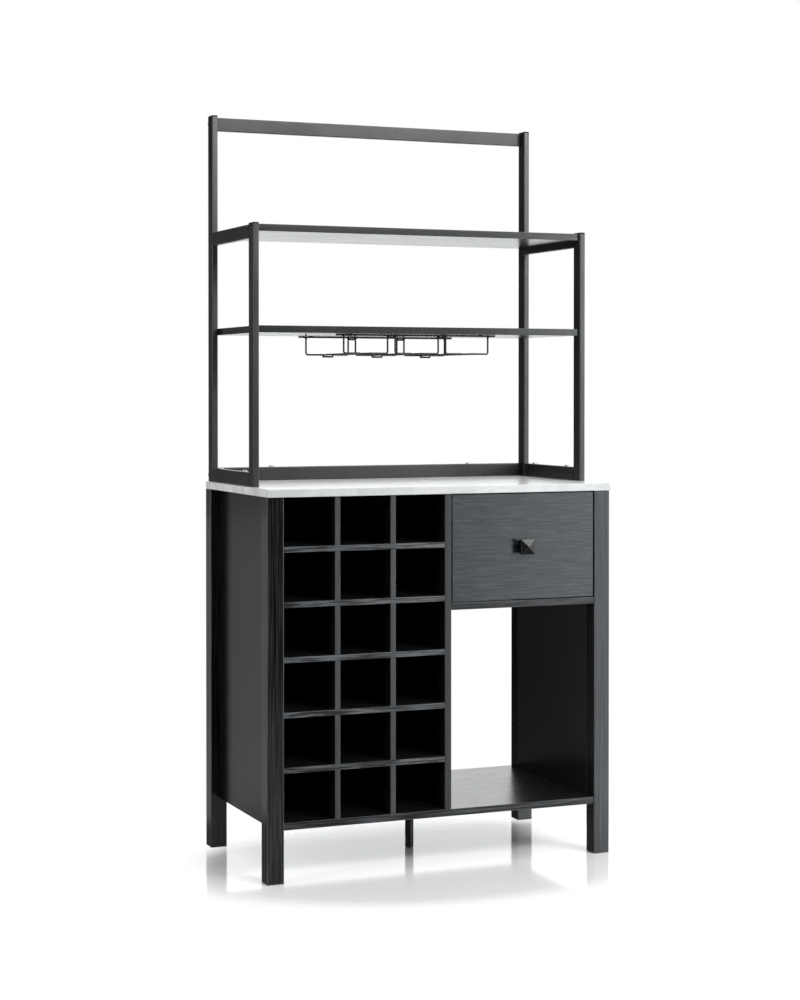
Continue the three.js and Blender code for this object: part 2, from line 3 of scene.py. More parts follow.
import bmesh
import bpy
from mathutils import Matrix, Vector


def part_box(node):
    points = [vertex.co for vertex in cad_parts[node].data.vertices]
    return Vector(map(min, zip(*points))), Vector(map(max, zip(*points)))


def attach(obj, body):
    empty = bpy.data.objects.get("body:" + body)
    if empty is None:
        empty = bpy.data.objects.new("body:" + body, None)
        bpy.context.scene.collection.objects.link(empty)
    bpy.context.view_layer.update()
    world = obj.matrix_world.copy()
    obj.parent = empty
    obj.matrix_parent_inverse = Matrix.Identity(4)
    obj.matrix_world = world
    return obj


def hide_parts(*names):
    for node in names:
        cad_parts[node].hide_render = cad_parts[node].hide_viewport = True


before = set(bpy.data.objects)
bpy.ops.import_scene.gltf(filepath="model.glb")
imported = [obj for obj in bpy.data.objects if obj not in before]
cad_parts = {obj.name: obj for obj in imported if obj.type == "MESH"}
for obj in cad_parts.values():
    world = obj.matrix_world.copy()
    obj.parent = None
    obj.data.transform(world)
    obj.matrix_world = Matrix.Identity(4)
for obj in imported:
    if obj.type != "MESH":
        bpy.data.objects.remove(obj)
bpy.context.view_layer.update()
print("frame:", len(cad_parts), "nodes loaded")

meshCare = {"merge": 0.00001, "flat": 0.01, "near": 0.0001, "square": 0.9, "parallel": 0.99,
            "smoothBelow": 50}


def clearSelection():
    if bpy.context.mode != "OBJECT":
        bpy.ops.object.mode_set(mode="OBJECT")
    bpy.ops.object.select_all(action="DESELECT")


def standAlone(piece):
    clearSelection()
    piece.select_set(True)
    bpy.context.view_layer.objects.active = piece


def takeUp(name, finishes):
    # the object just added gets its name and finishes, and its place goes into its mesh
    piece = bpy.context.object
    piece.name = name
    piece.data.name = name
    bpy.ops.object.transform_apply(location=True, rotation=True, scale=True)
    piece.data.materials.clear()
    for finish in finishes:
        piece.data.materials.append(finish)
    return piece


def addBlock(name, low, high, finishes):
    clearSelection()
    bpy.ops.mesh.primitive_cube_add(size=1, location=(low + high) / 2, scale=high - low)
    return takeUp(name, finishes)


def addRod(name, radius, low, high, sides, finishes):
    # an upright cylinder
    clearSelection()
    bpy.ops.mesh.primitive_cylinder_add(vertices=sides, radius=radius, depth=(high - low).length,
                                        location=(low + high) / 2)
    return takeUp(name, finishes)


def copyNode(name, node, finishes):
    # a merged copy of a CAD node, for boards with notches, holes or grooves
    piece = bpy.data.objects.new(name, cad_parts[node].data.copy())
    bpy.context.scene.collection.objects.link(piece)
    standAlone(piece)
    takeUp(name, finishes)
    bpy.ops.mesh.customdata_custom_splitnormals_clear()
    startEdit(piece)
    bpy.ops.mesh.select_all(action="SELECT")
    bpy.ops.mesh.remove_doubles(threshold=meshCare["merge"])
    bpy.ops.mesh.dissolve_limited(angle_limit=meshCare["flat"])
    bpy.ops.object.mode_set(mode="OBJECT")
    return piece


def centreOf(node):
    low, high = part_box(node)
    return (low + high) / 2


def upright(level):
    return Vector((0, 0, level))


def startEdit(piece, kind="EDGE"):
    standAlone(piece)
    bpy.ops.object.mode_set(mode="EDIT")
    bpy.ops.mesh.select_mode(type=kind)
    bpy.ops.mesh.select_all(action="DESELECT")
    return bmesh.from_edit_mesh(piece.data)


def pickFaces(piece, test):
    mesh = startEdit(piece, "FACE")
    for face in mesh.faces:
        face.select_set(test(face))
    bmesh.update_edit_mesh(piece.data)


def pickEdges(piece, test):
    mesh = startEdit(piece, "EDGE")
    for edge in mesh.edges:
        edge.select_set(test(*(vertex.co for vertex in edge.verts)))
    bmesh.update_edit_mesh(piece.data)


def facing(axis, side=0):
    # tests for the faces square to an axis, at both ends or at the one that side gives as 1 or -1
    index = "XYZ".index(axis)
    if side:
        return lambda face: face.normal[index] * side > meshCare["square"]
    return lambda face: abs(face.normal[index]) > meshCare["square"]


def runningAlong(axis):
    # tests for the edges parallel to an axis
    index = "XYZ".index(axis)
    return lambda a, b: abs(a[index] - b[index]) > meshCare["parallel"] * (a - b).length


def lyingAt(level):
    # tests for the level edges at one height
    return lambda a, b: max(abs(a.z - level), abs(b.z - level)) < meshCare["near"]


def cutAcross(piece, place, normal):
    # a loop of edges where a plane meets the piece, which stays whole
    startEdit(piece)
    bpy.ops.mesh.select_all(action="SELECT")
    bpy.ops.mesh.bisect(plane_co=place, plane_no=normal)


def softenSharp(piece, width, steps=2, limit=40, finishSlot=1):
    # a small round on every sharp edge, which takes the piece's second finish: mostly worn foil or paint, on
    # the knob also a painted highlight, on the counter the front band with its painted shade
    startEdit(piece)
    bpy.ops.mesh.edges_select_sharp(sharpness=math.radians(limit))
    bpy.ops.mesh.bevel(offset=width, segments=steps, affect="EDGES", material=finishSlot)
    bpy.ops.object.mode_set(mode="OBJECT")


def applyModifier(piece, kind, **settings):
    bpy.ops.object.modifier_add(type=kind)
    modifier = piece.modifiers[-1]
    for key, value in settings.items():
        setattr(modifier, key, value)
    bpy.ops.object.modifier_apply(modifier=modifier.name)


def carve(piece, cutter):
    standAlone(piece)
    applyModifier(piece, "BOOLEAN", object=cutter, solver="EXACT")
    bpy.data.objects.remove(cutter)


def hollowOut(piece, faces, thickness):
    # these faces are taken out, and the rest of the block gets a wall inwards
    pickFaces(piece, faces)
    bpy.ops.mesh.delete(type="FACE")
    bpy.ops.object.mode_set(mode="OBJECT")
    applyModifier(piece, "SOLIDIFY", thickness=thickness, offset=-1)


def hand(piece, body, slot, *nodes):
    # the finished piece rides on its body and stands for its CAD nodes
    standAlone(piece)
    bpy.ops.object.shade_smooth_by_angle(angle=math.radians(meshCare["smoothBelow"]))
    applyModifier(piece, "WEIGHTED_NORMAL", keep_sharp=True)
    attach(piece, body)
    if nodes:
        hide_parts(*nodes)
    return piece


def copyTo(model, name, place, turn=(0, 0, 0)):
    # a copy with its own mesh, moved and turned, with its place in the mesh
    standAlone(model)
    bpy.ops.object.duplicate(linked=False)
    piece = bpy.context.object
    piece.name = name
    piece.data.name = name
    piece.rotation_euler = turn
    piece.location = place
    bpy.ops.object.transform_apply(location=True, rotation=True, scale=True)
    return piece


def joinAll(piece, others):
    standAlone(piece)
    for other in others:
        other.select_set(True)
    bpy.ops.object.join()
    return piece


def pieceName(node):
    first, *others = node.split("_")
    return first + "".join(word.capitalize() for word in others)


# finishes are built from noise in object coordinates, at true scale: sizes are features to the metre
noiseSpan = (0.3, 0.7)  # where nearly all of a noise's values lie
noiseMiddle = 0.5


def newFinish(name, metallic=0.0, specular=0.5):
    finish = bpy.data.materials.new(name)
    finish.use_nodes = True
    shader = finish.node_tree.nodes["Principled BSDF"]
    shader.inputs["Metallic"].default_value = metallic
    shader.inputs["Specular IOR Level"].default_value = specular
    return finish, shader


def addNode(finish, kind, inputs, **settings):
    node = finish.node_tree.nodes.new(kind)
    for key, value in settings.items():
        setattr(node, key, value)
    for key, value in inputs.items():
        if isinstance(value, bpy.types.NodeSocket):
            finish.node_tree.links.new(value, node.inputs[key])
        else:
            node.inputs[key].default_value = value
    return node


def addNoise(finish, size, detail=3, roughness=0.55, distortion=0.0):
    # size is one number, or one for each of X, Y and Z
    scale = size if isinstance(size, tuple) else (size, size, size)
    place = addNode(finish, "ShaderNodeTexCoord", {}).outputs["Object"]
    spread = addNode(finish, "ShaderNodeMapping", {"Vector": place, "Scale": scale}).outputs["Vector"]
    noise = addNode(finish, "ShaderNodeTexNoise", {
        "Vector": spread, "Scale": 1.0, "Detail": detail, "Roughness": roughness, "Distortion": distortion})
    return noise.outputs["Fac"]


def addRamp(finish, source, stops):
    ramp = addNode(finish, "ShaderNodeValToRGB", {"Fac": source})
    elements = ramp.color_ramp.elements
    while len(elements) < len(stops):
        elements.new(1.0)
    for element, (place, tone) in zip(elements, stops):
        element.position = place
        element.color = (*tone, 1.0)
    return ramp.outputs["Color"]


def addRange(finish, source, span, first, last, **settings):
    # the span of the source becomes a slope from first to last
    return addNode(finish, "ShaderNodeMapRange", {
        "Value": source, "From Min": span[0], "From Max": span[1], "To Min": first, "To Max": last},
        **settings).outputs["Result"]


def addMath(finish, operation, first, second=0.0):
    return addNode(finish, "ShaderNodeMath", {0: first, 1: second}, operation=operation).outputs["Value"]


def addMix(finish, blend, share, first, second):
    return addNode(finish, "ShaderNodeMixRGB", {"Fac": share, "Color1": first, "Color2": second},
                   blend_type=blend).outputs["Color"]


def addShade(finish, share, color, source, span, first, last):
    # a noise shades a colour from first to last
    shade = addRamp(finish, source, [(span[0], grey(first)), (span[1], grey(last))])
    return addMix(finish, "MULTIPLY", share, color, shade)


def joinUp(finish, shader, color, roughness, height, depth, strength):
    bump = addNode(finish, "ShaderNodeBump", {"Height": height, "Distance": depth, "Strength": strength})
    finish.node_tree.links.new(color, shader.inputs["Base Color"])
    finish.node_tree.links.new(roughness, shader.inputs["Roughness"])
    finish.node_tree.links.new(bump.outputs["Normal"], shader.inputs["Normal"])
    return finish


def grey(value, blue=1.0):
    return (value, value * (1 + blue) / 2, value * blue)


def tinted(tone, shade):
    return [tone * part for part in shade]


def stretched(along, across, length):
    return tuple(length if axis == along else across for axis in "XYZ")


blackFoil = {"dark": 0.003, "light": 0.013, "midTone": 2.2, "midShift": 0.1, "worn": 0.06, "blue": 1.14,
             "roughness": 0.26, "streaks": 230, "streakRun": 9, "streakSpan": 0.2,
             "pores": 900, "poreRun": 30, "poreSpan": (0.34, 0.46), "poreShade": 0.45, "poreShare": 0.8,
             "poreDepth": 0.5, "clouds": 14, "cloudRun": 2.5, "darker": 0.2, "paler": 0.15,
             "duller": 0.07, "glossier": 0.04, "relief": 0.00016, "strength": 0.55}


def woodFoil(name, along, dark=blackFoil["dark"], light=blackFoil["light"], roughness=blackFoil["roughness"],
             blue=blackFoil["blue"], relief=1.0, fine=1.0, contrast=1.0, run=1.0, wave=0.35, drift=1.0,
             specular=0.5):
    # black oak-grain foil: streaks and pores run along one axis
    finish, shader = newFinish(name, specular=specular)
    size = stretched(along, blackFoil["streaks"] * fine, blackFoil["streakRun"] * run)
    streaks = addNoise(finish, size, detail=5, roughness=0.62, distortion=wave)
    size = stretched(along, blackFoil["pores"], blackFoil["poreRun"])
    pores = addNoise(finish, size, detail=3, roughness=0.6)
    size = stretched(along, blackFoil["clouds"], blackFoil["cloudRun"])
    clouds = addNoise(finish, size, detail=2, roughness=0.5)
    span = blackFoil["streakSpan"] / contrast
    tone = addRamp(finish, streaks, [
        (noiseMiddle - span, grey(dark, blue)),
        (noiseMiddle + span * blackFoil["midShift"], grey((dark + light) / blackFoil["midTone"], blue)),
        (noiseMiddle + span, grey(light, blue))])
    color = addShade(finish, blackFoil["poreShare"], tone, pores, blackFoil["poreSpan"],
                     blackFoil["poreShade"], 1.0)
    color = addShade(finish, 1.0, color, clouds, noiseSpan, 1 - blackFoil["darker"] * drift,
                     1 + blackFoil["paler"] * drift)
    height = addMath(finish, "ADD", streaks, addMath(finish, "MULTIPLY", pores, blackFoil["poreDepth"]))
    gloss = addRange(finish, streaks, noiseSpan, roughness + blackFoil["duller"] * relief,
                     roughness - blackFoil["glossier"] * relief)
    return joinUp(finish, shader, color, gloss, height, blackFoil["relief"], blackFoil["strength"] * relief)


# frontFace darkens the counter's front edge band and sideFace lightens its side edge bands: painted shade and
# painted light
marble = {"ground": (0.75, 0.76, 0.745), "cloud": (0.6, 0.61, 0.61), "vein": (0.33, 0.34, 0.35),
          "roughness": 0.2, "duller": 0.08, "cloudSize": 8, "cloudSpan": (0.4, 0.62),
          "veinSize": (3.4, 6.5, 6.5), "veinWide": 0.018, "veinShare": 0.6, "patchSize": 6,
          "patchSpan": (0.42, 0.6), "speckleSize": 420, "speckleSpan": (0.35, 0.6), "speckle": 0.9,
          "speckleShare": 0.5, "relief": 0.00004, "strength": 0.25,
          "frontFace": 0.77, "sideFace": 1.17, "sideClouds": 26}


# shade scales the whole colour; the counter's edge bands use it for painted shade and painted light
def marbleFoil(name, shade=1.0, cloudSize=marble["cloudSize"]):
    # white stone-look foil with clouds, fine veins and a little speckle
    finish, shader = newFinish(name)
    clouds = addNoise(finish, cloudSize, detail=5, roughness=0.6, distortion=0.6)
    ridges = addNoise(finish, marble["veinSize"], detail=5, distortion=1.0)
    patches = addNoise(finish, marble["patchSize"], detail=2)
    speckle = addNoise(finish, marble["speckleSize"], detail=2)
    cloudLow, cloudHigh = marble["cloudSpan"]
    ground = addRamp(finish, clouds, [(cloudLow, tinted(shade, marble["cloud"])),
                                      (cloudHigh, tinted(shade, marble["ground"]))])
    ridge = addMath(finish, "ABSOLUTE", addMath(finish, "SUBTRACT", ridges, noiseMiddle))
    line = addRange(finish, ridge, (0.0, marble["veinWide"]), marble["veinShare"], 0.0)
    share = addMath(finish, "MULTIPLY", line, addRange(finish, patches, marble["patchSpan"], 0.0, 1.0))
    veined = addMix(finish, "MIX", share, ground, (*marble["vein"], 1.0))
    color = addShade(finish, marble["speckleShare"], veined, speckle, marble["speckleSpan"],
                     marble["speckle"], 1.0)
    gloss = addRange(finish, clouds, noiseSpan, marble["roughness"] + marble["duller"], marble["roughness"])
    return joinUp(finish, shader, color, gloss, speckle, marble["relief"], marble["strength"])


paint = {"blue": 1.08, "drift": 9, "darker": 0.82, "paler": 1.15, "specks": 700, "speckSpan": (0.35, 0.6),
         "speckDark": 0.75, "speckPale": 1.1, "speckShare": 0.7, "peel": 1900,
         "duller": 0.06, "glossier": 0.05, "relief": 0.00008}


def powderCoat(name, tone, roughness, relief=0.5, specular=0.5):
    # sprayed paint: fine orange peel, slight drift in tone, rubbed lighter in places
    finish, shader = newFinish(name, specular=specular)
    peel = addNoise(finish, paint["peel"], detail=2, roughness=0.5)
    drift = addNoise(finish, paint["drift"], detail=3, roughness=0.6)
    specks = addNoise(finish, paint["specks"], detail=2, roughness=0.7)
    ground = addRamp(finish, drift, [(noiseSpan[0], grey(tone * paint["darker"], paint["blue"])),
                                     (noiseSpan[1], grey(tone * paint["paler"], paint["blue"]))])
    color = addShade(finish, paint["speckShare"], ground, specks, paint["speckSpan"], paint["speckDark"],
                     paint["speckPale"])
    gloss = addRange(finish, drift, noiseSpan, roughness + paint["duller"], roughness - paint["glossier"])
    return joinUp(finish, shader, color, gloss, peel, paint["relief"], relief)


plating = {"tone": 0.56, "lines": 1400, "lineRun": 30, "lineDark": 0.8, "linePale": 1.05, "lineShare": 0.6,
           "film": 40, "filmSpan": (0.35, 0.65), "warm": (1, 1, 0.97), "bluish": (0.9, 0.93, 1),
           "glossy": 0.26, "dull": 0.38, "relief": 0.00003, "strength": 0.35}


def zincPlate(name, along, tone=plating["tone"]):
    # zinc-plated strip with rolling marks and a faint bluish film
    finish, shader = newFinish(name, metallic=1.0)
    size = stretched(along, plating["lines"], plating["lineRun"])
    lines = addNoise(finish, size, detail=3, roughness=0.6)
    film = addNoise(finish, plating["film"], detail=3, roughness=0.6)
    filmLow, filmHigh = plating["filmSpan"]
    ground = addRamp(finish, film, [(filmLow, tinted(tone, plating["warm"])),
                                    (filmHigh, tinted(tone, plating["bluish"]))])
    color = addShade(finish, plating["lineShare"], ground, lines, noiseSpan, plating["lineDark"],
                     plating["linePale"])
    gloss = addRange(finish, film, noiseSpan, plating["glossy"], plating["dull"])
    return joinUp(finish, shader, color, gloss, lines, plating["relief"], plating["strength"])


fibres = {"tone": 0.012, "roughness": 0.7, "duller": 0.12, "size": (160, 500, 500), "span": (0.35, 0.65),
          "dark": 0.7, "pale": 1.15, "share": 0.7, "drift": 10, "darker": 0.85, "paler": 1.1,
          "specular": 0.3, "relief": 0.0001, "strength": 0.4}


def fibreboard(name):
    # thin board with a matt printed face and pressed fibres
    finish, shader = newFinish(name, specular=fibres["specular"])
    threads = addNoise(finish, fibres["size"], detail=4, roughness=0.7, distortion=0.8)
    drift = addNoise(finish, fibres["drift"])
    ground = addRamp(finish, drift, [(noiseSpan[0], grey(fibres["tone"] * fibres["darker"])),
                                     (noiseSpan[1], grey(fibres["tone"] * fibres["paler"]))])
    color = addShade(finish, fibres["share"], ground, threads, fibres["span"], fibres["dark"], fibres["pale"])
    gloss = addRange(finish, threads, noiseSpan, fibres["roughness"], fibres["roughness"] + fibres["duller"])
    return joinUp(finish, shader, color, gloss, threads, fibres["relief"], fibres["strength"])


plastic = {"tone": 0.006, "roughness": 0.5, "glossier": 0.04, "duller": 0.06, "stipple": 1500,
           "stippleDark": 0.8, "stipplePale": 1.1, "stippleShare": 0.6, "drift": 60, "darker": 0.85,
           "paler": 1.2, "specular": 0.18, "relief": 0.00006, "strength": 0.45}


def mouldedPlastic(name):
    # stippled black plastic
    finish, shader = newFinish(name, specular=plastic["specular"])
    stipple = addNoise(finish, plastic["stipple"], detail=2, roughness=0.5)
    drift = addNoise(finish, plastic["drift"])
    ground = addRamp(finish, drift, [(noiseSpan[0], grey(plastic["tone"] * plastic["darker"])),
                                     (noiseSpan[1], grey(plastic["tone"] * plastic["paler"]))])
    color = addShade(finish, plastic["stippleShare"], ground, stipple, noiseSpan, plastic["stippleDark"],
                     plastic["stipplePale"])
    gloss = addRange(finish, drift, noiseSpan, plastic["roughness"] - plastic["glossier"],
                     plastic["roughness"] + plastic["duller"])
    return joinUp(finish, shader, color, gloss, stipple, plastic["relief"], plastic["strength"])


foilUpright = woodFoil("blackFoilUpright", "Z")
foilPanel = woodFoil("blackFoilPanel", "Z", light=0.01, relief=0.12)
foilLeg = woodFoil("blackFoilLeg", "Z", dark=0.0005, light=0.021, roughness=0.12, relief=0.8, fine=1.8,
                   contrast=2.6, run=0.6, drift=0.4, specular=0.44)
# the legs' rounded edges get a much lighter copy of the foil: wear and a painted highlight
legEdgeWearAndHighlight = woodFoil("legCornerWearAndHighlight", "Z", dark=0.04, light=0.1, roughness=0.34, fine=0.3)
foilAcross = woodFoil("blackFoilAcross", "X")
bandUpright = woodFoil("edgeBandUpright", "Z", dark=0.026, light=0.064, relief=0.4)
bandAcross = woodFoil("edgeBandAcross", "X", dark=0.0005, light=0.09, contrast=3.6, relief=0.5)
bandPartition = woodFoil("edgeBandPartition", "Z", dark=0.004, light=0.014)
bandBoard = woodFoil("edgeBandBoard", "X", dark=0.002, light=0.052, contrast=2.4, specular=0.3)
bandShelf = woodFoil("edgeBandShelf", "X", dark=0.012, light=0.042, roughness=0.2, specular=0.31)
wornFoil = woodFoil("wornFoilEdge", "Z", dark=0.03, light=blackFoil["worn"], roughness=0.4)
marbleTop = marbleFoil("marbleFoil")
# darker and lighter copies of the marble foil for the edge bands: painted shade on the front, painted light
# on the sides
shadedMarbleFront = marbleFoil("marbleFrontBandPaintedShade", marble["frontFace"])
litMarbleSide = marbleFoil("marbleSideBandPaintedLight", marble["sideFace"], marble["sideClouds"])
tubePaint = powderCoat("tubePowderCoat", 0.008, 0.34)
# the tubes' rounded corners get a lighter copy of the paint: wear and a painted highlight
tubeWearAndHighlight = powderCoat("tubeCornerWearAndHighlight", 0.03, 0.36)
# a copy of the tube paint with less sheen, which dims the crown rail: painted shade
crownRailShadedPaint = powderCoat("railPowderCoat", 0.012, 0.34, specular=0.31)
wirePaint = powderCoat("wirePowderCoat", 0.009, 0.35, specular=0.4)
knobPaint = powderCoat("knobLacquer", 0.003, 0.32, relief=0.2, specular=0.28)
# a lighter copy of the knob's lacquer for its rounded edges: rubbed wear and a painted highlight
knobWearAndHighlight = powderCoat("knobRubbedEdgeAndHighlight", 0.02, 0.36, relief=0.2, specular=0.4)
capPlastic = mouldedPlastic("capPlastic")
backFace = fibreboard("darkFibreboard")
boxFoil = woodFoil("drawerBoxFoil", "Y", dark=0.014, light=0.024, roughness=0.5, relief=0.5)
boxFoilAcross = woodFoil("drawerBoxFoilAcross", "X", dark=0.014, light=0.024, roughness=0.5, relief=0.5)
boxEdge = woodFoil("drawerBoxEdge", "Y", dark=0.03, light=0.05, roughness=0.5, relief=0.5)
# a lighter, bluer copy of the black foil for the drawer front: painted sheen of the bluish front lamps
drawerFrontSheenFoil = woodFoil("drawerFrontFoil", "X", dark=0.003, light=0.026, roughness=0.2, fine=1.8, blue=1.45,
                     contrast=1.8, run=1.7, wave=0.0, drift=0.3)
zinc = zincPlate("zincStrip", "Y")
zincBolt = zincPlate("zincBolt", "Z", 0.5)
blackBolt = powderCoat("blackedBolt", 0.02, 0.36, relief=0.3)
print("finishes:", len(bpy.data.materials), "materials")


# base: legs, panels, boards and the wine grid
leg = {"edge": 0.0013, "footEdge": 0.0018}


def dressLeg(node):
    low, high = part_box(node)
    piece = addBlock(pieceName(node), low, high, [foilLeg, legEdgeWearAndHighlight])
    # the rounded foot edge and corners take the lighter edge finish: wear and a painted highlight
    pickEdges(piece, lyingAt(low.z))
    bpy.ops.mesh.bevel(offset=leg["footEdge"], segments=2, affect="EDGES", material=1)
    pickEdges(piece, runningAlong("Z"))
    bpy.ops.mesh.bevel(offset=leg["edge"], segments=3, affect="EDGES", material=1)
    return hand(piece, "frame", "black_board", node)


board = {"edge": 0.0006, "gridEdge": 0.0004, "panelEdge": 0.0003, "gridShelves": 5}


def bandFaces(piece, band, test):
    # the cut edges of a board carry a strip of edge band
    piece.data.materials.append(band)
    slot = len(piece.data.materials) - 1
    pickFaces(piece, test)
    piece.active_material_index = slot
    bpy.ops.object.material_slot_assign()
    bpy.ops.object.mode_set(mode="OBJECT")


def dressBoard(node, finish, band, shaped=False, body="frame", slot="black_board", edge=board["edge"]):
    name = pieceName(node)
    finishes = [finish, wornFoil]
    piece = copyNode(name, node, finishes) if shaped else addBlock(name, *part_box(node), finishes)
    if band:
        bandFaces(piece, band, facing("Y"))
    softenSharp(piece, edge)
    return hand(piece, body, slot, node)


for node in ("left_front_leg", "left_rear_leg", "right_front_leg", "right_rear_leg"):
    dressLeg(node)
for node in ("left_side_panel", "right_side_panel"):
    dressBoard(node, foilPanel, None)
dressBoard("bottom_board", foilAcross, bandBoard, shaped=True)
dressBoard("drawer_shelf", foilAcross, bandBoard)
dressBoard("centre_partition", foilUpright, bandPartition)
for node in ("wine_divider_1", "wine_divider_2"):
    dressBoard(node, foilUpright, bandUpright, shaped=True, edge=board["gridEdge"])
for row in range(board["gridShelves"]):
    dressBoard(f"wine_shelf_{row + 1}", foilAcross, bandAcross, shaped=True, edge=board["gridEdge"])
dressBoard("wine_back_panel", backFace, None, slot="dark_panel", edge=board["panelEdge"])
print("base: boards dressed")

counter = {"edge": 0.0012}


def dressCounter():
    piece = copyNode("marbleCounter", "countertop", [marbleTop, shadedMarbleFront])
    # the front band carries painted shade and the side bands carry painted light
    bandFaces(piece, shadedMarbleFront, facing("Y"))
    bandFaces(piece, litMarbleSide, facing("X"))
    softenSharp(piece, counter["edge"], steps=3)
    return hand(piece, "frame", "marble_board", "countertop")


dressCounter()

foot = {"sides": 40, "rounded": 0.003, "grooveLow": 0.016, "grooveHigh": 0.0175, "grooveDepth": 0.0006,
        "grooveSlope": 0.0001, "shoulder": 0.0002, "stud": 0.004}


def turnFoot():
    # a round foot with a ring groove, a shoulder under the board and a stud that goes into it
    low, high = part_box("middle_foot")
    centre = centreOf("middle_foot")
    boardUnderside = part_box("bottom_board")[0].z
    shoulder = boardUnderside - foot["shoulder"]
    radius = (high.x - low.x) / 2
    piece = addRod("middleFoot", radius, Vector((centre.x, centre.y, low.z)),
                   Vector((centre.x, centre.y, shoulder)), foot["sides"], [tubePaint, tubeWearAndHighlight])
    for level in (foot["grooveLow"], foot["grooveHigh"]):
        cutAcross(piece, (centre.x, centre.y, level), (0, 0, 1))
    grooveLevel = (foot["grooveLow"] + foot["grooveHigh"]) / 2
    pickFaces(piece, lambda face: abs(face.calc_center_median().z - grooveLevel) < meshCare["near"])
    bpy.ops.mesh.inset(thickness=foot["grooveSlope"], depth=-foot["grooveDepth"])
    pickEdges(piece, lyingAt(low.z))
    bpy.ops.mesh.bevel(offset=foot["rounded"], segments=5, affect="EDGES", material=1)
    pickFaces(piece, lambda face: abs(face.calc_center_median().z - shoulder) < meshCare["near"])
    bpy.ops.mesh.inset(thickness=radius - foot["stud"])
    bpy.ops.mesh.extrude_region_move(TRANSFORM_OT_translate={"value": upright(high.z - boardUnderside)})
    return hand(piece, "frame", "black_tube", "middle_foot")


turnFoot()
print("base: counter and middle foot done")


# fixings are each made once at the origin, facing up, and copied
fixing = {"railHead": 0.006, "railHeadHigh": 0.003, "railShank": 0.003, "socket": 0.002, "socketDeep": 0.0016,
          "socketSides": 6, "washer": 0.0058, "washerHigh": 0.0004, "washerSides": 24,
          "buttonHead": 0.0044, "buttonHigh": 0.0012, "panHead": 0.0034, "panHigh": 0.0016,
          "crossLong": 0.0042, "crossWide": 0.0009, "crossDeep": 0.001, "cutterAbove": 0.002,
          "headSides": 28, "headRound": 0.8, "tipRound": 0.3}


def roundHead(name, radius, high, finishes):
    piece = addRod(name, radius, upright(0), upright(high), fixing["headSides"], finishes)
    pickEdges(piece, lyingAt(high))
    bpy.ops.mesh.bevel(offset=high * fixing["headRound"], segments=4, affect="EDGES")
    bpy.ops.object.mode_set(mode="OBJECT")
    return piece


def sinkSocket(piece, high):
    bottom, top = upright(high - fixing["socketDeep"]), upright(high + fixing["cutterAbove"])
    carve(piece, addRod("socketCutter", fixing["socket"], bottom, top, fixing["socketSides"], []))


def sinkCross(piece, high):
    bottom, top = upright(high - fixing["crossDeep"]), upright(high + fixing["cutterAbove"])
    half = Vector((fixing["crossLong"] / 2, fixing["crossWide"] / 2, 0.0))
    for size in (half, half.yxz):
        carve(piece, addBlock("crossCutter", bottom - size, top + size, []))


def extendShank(piece, radius, headRadius, length):
    pickFaces(piece, facing("Z", -1))
    bpy.ops.mesh.inset(thickness=headRadius - radius)
    bpy.ops.mesh.extrude_region_move(TRANSFORM_OT_translate={"value": upright(-length)})
    bpy.ops.mesh.bevel(offset=radius * fixing["tipRound"], segments=1, affect="EDGES")
    bpy.ops.object.mode_set(mode="OBJECT")


def dressRailBolts():
    nodes = [f"{side}_rail_bolt_{end}" for side in ("left", "right") for end in ("front", "rear")]
    nodes += ["rear_rail_bolt_left", "rear_rail_bolt_right"]
    low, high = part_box(nodes[0])
    model = roundHead("railBolt", fixing["railHead"], fixing["railHeadHigh"], [zincBolt])
    extendShank(model, fixing["railShank"], fixing["railHead"], high.z - low.z - fixing["railHeadHigh"])
    sinkSocket(model, fixing["railHeadHigh"])
    for node in nodes:
        centre = centreOf(node)
        place = (centre.x, centre.y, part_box(node)[1].z - fixing["railHeadHigh"])
        hand(copyTo(model, pieceName(node), place), "frame", "zinc_steel", node)
    bpy.data.objects.remove(model)


dressRailBolts()
print("fixings: rail bolts done")


# hutch: posts, caps, rails and shelves
tube = {"wall": 0.0012, "corner": 0.002, "cornerSteps": 4}


def dressTube(node, along, coat=tubePaint):
    # a block with four rounded edges, made into a tube with open ends
    piece = addBlock(pieceName(node), *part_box(node), [coat, tubeWearAndHighlight])
    # the rounded corners take the lighter corner finish: wear and a painted highlight
    pickEdges(piece, runningAlong(along))
    bpy.ops.mesh.bevel(offset=tube["corner"], segments=tube["cornerSteps"], affect="EDGES", material=1)
    hollowOut(piece, facing(along), tube["wall"])
    return hand(piece, "frame", "black_tube", node)


cap = {"head": 0.003, "edge": 0.0012, "plugInset": 0.0016, "plugDeep": 0.0118}


def dressCap(node):
    # a plate on the end of the tube, with a plug that goes into it
    low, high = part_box(node)
    headLow = Vector((low.x, low.y, high.z - cap["head"]))
    piece = addBlock(pieceName(node), headLow, high, [capPlastic])
    pickEdges(piece, runningAlong("Z"))
    bpy.ops.mesh.bevel(offset=tube["corner"], segments=tube["cornerSteps"], affect="EDGES")
    pickFaces(piece, facing("Z", 1))
    bpy.ops.mesh.bevel(offset=cap["edge"], segments=3, affect="EDGES")
    pickFaces(piece, facing("Z", -1))
    bpy.ops.mesh.inset(thickness=cap["plugInset"])
    bpy.ops.mesh.extrude_region_move(TRANSFORM_OT_translate={"value": upright(-cap["plugDeep"])})
    return hand(piece, "frame", "black_plastic", node)


for side in ("left", "right"):
    for end in ("front", "rear"):
        dressTube(f"{side}_{end}_post", "Z")
        dressCap(f"{side}_{end}_cap")
    for level in ("base", "top"):
        dressTube(f"{side}_{level}_rail", "Y")
dressTube("rear_base_rail", "X")
# the crown rail takes the duller copy of the tube paint: painted shade
dressTube("crown_rail", "X", crownRailShadedPaint)
for node in ("top_shelf", "middle_shelf"):
    dressBoard(node, foilAcross, bandShelf)
print("hutch: tube and shelves done")


# stemware rack of bent wire
wire = {"sides": 16, "bend": 0.0045, "archBend": 0.0028, "bendSteps": 7, "endRound": 0.0006}


